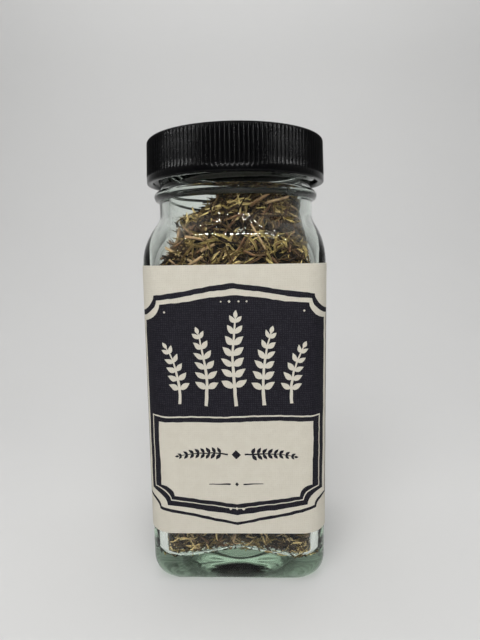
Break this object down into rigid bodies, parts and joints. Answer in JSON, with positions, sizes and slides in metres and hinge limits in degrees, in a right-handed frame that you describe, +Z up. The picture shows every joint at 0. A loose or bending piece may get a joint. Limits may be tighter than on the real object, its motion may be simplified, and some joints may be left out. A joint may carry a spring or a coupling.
{
  "type": "spice jar of dried thyme",
  "caption": "Square clear-glass spice jar filled with dried thyme leaves and stems, with a ribbed black screw cap, a sealing liner and a paper label wrapped round all sides.",
  "frame": {"origin": "on the jar's vertical axis, on the surface that it stands on", "axes": "+Z up along the jar's axis, -Y out of the front of the label, +X to the right as the front is faced"},
  "size_m": [0.0466, 0.0466, 0.1107],
  "materials": {
    "jar_glass": "clear moulded soda glass with a faint green tint, polished outside, finely stippled under the base",
    "cap_plastic": "black moulded polypropylene, satin, ribbed skirt",
    "liner_board": "white faced pulp board",
    "label_paper": "cream laid paper with matte charcoal navy ink",
    "dried_thyme": "packed dried leaves and stems, olive to brown, matte",
    "dried_stem": "dry twig, matte",
    "dried_leaf": "dry curled leaf, matte"
  },
  "bodies": {
    "jar": {"glass_jar": "jar_glass", "wrap_label": "label_paper", "thyme_fill": "dried_thyme", "stem_1": "dried_stem", "stem_2": "dried_stem", "stem_3": "dried_stem", "stem_4": "dried_stem", "stem_5": "dried_stem", "stem_6": "dried_stem", "stem_7": "dried_stem", "leaf_1a": "dried_leaf", "leaf_1b": "dried_leaf", "leaf_2a": "dried_leaf", "leaf_2b": "dried_leaf", "leaf_3a": "dried_leaf", "leaf_3b": "dried_leaf", "leaf_4a": "dried_leaf", "leaf_4b": "dried_leaf", "leaf_5a": "dried_leaf", "leaf_5b": "dried_leaf", "leaf_6a": "dried_leaf", "leaf_6b": "dried_leaf", "leaf_7a": "dried_leaf", "leaf_7b": "dried_leaf"},
    "liner": {"cap_liner": "liner_board"},
    "cap": {"screw_cap": "cap_plastic"}
  },
  "joints": [
    {"name": "cap_lift", "type": "slide", "parent": "jar", "child": "liner", "axis": [0, 0, 1], "range_m": [0, 0.0029]},
    {"name": "cap_turn", "type": "hinge", "parent": "liner", "child": "cap", "pos_m": [0, 0, 0.105], "axis": [0, 0, 1], "range_deg": [0, 240]}
  ],
  "couplings": [
    {"joint": "cap_lift", "follows": "cap_turn", "m_per_rad": 0.00067322}
  ]
}
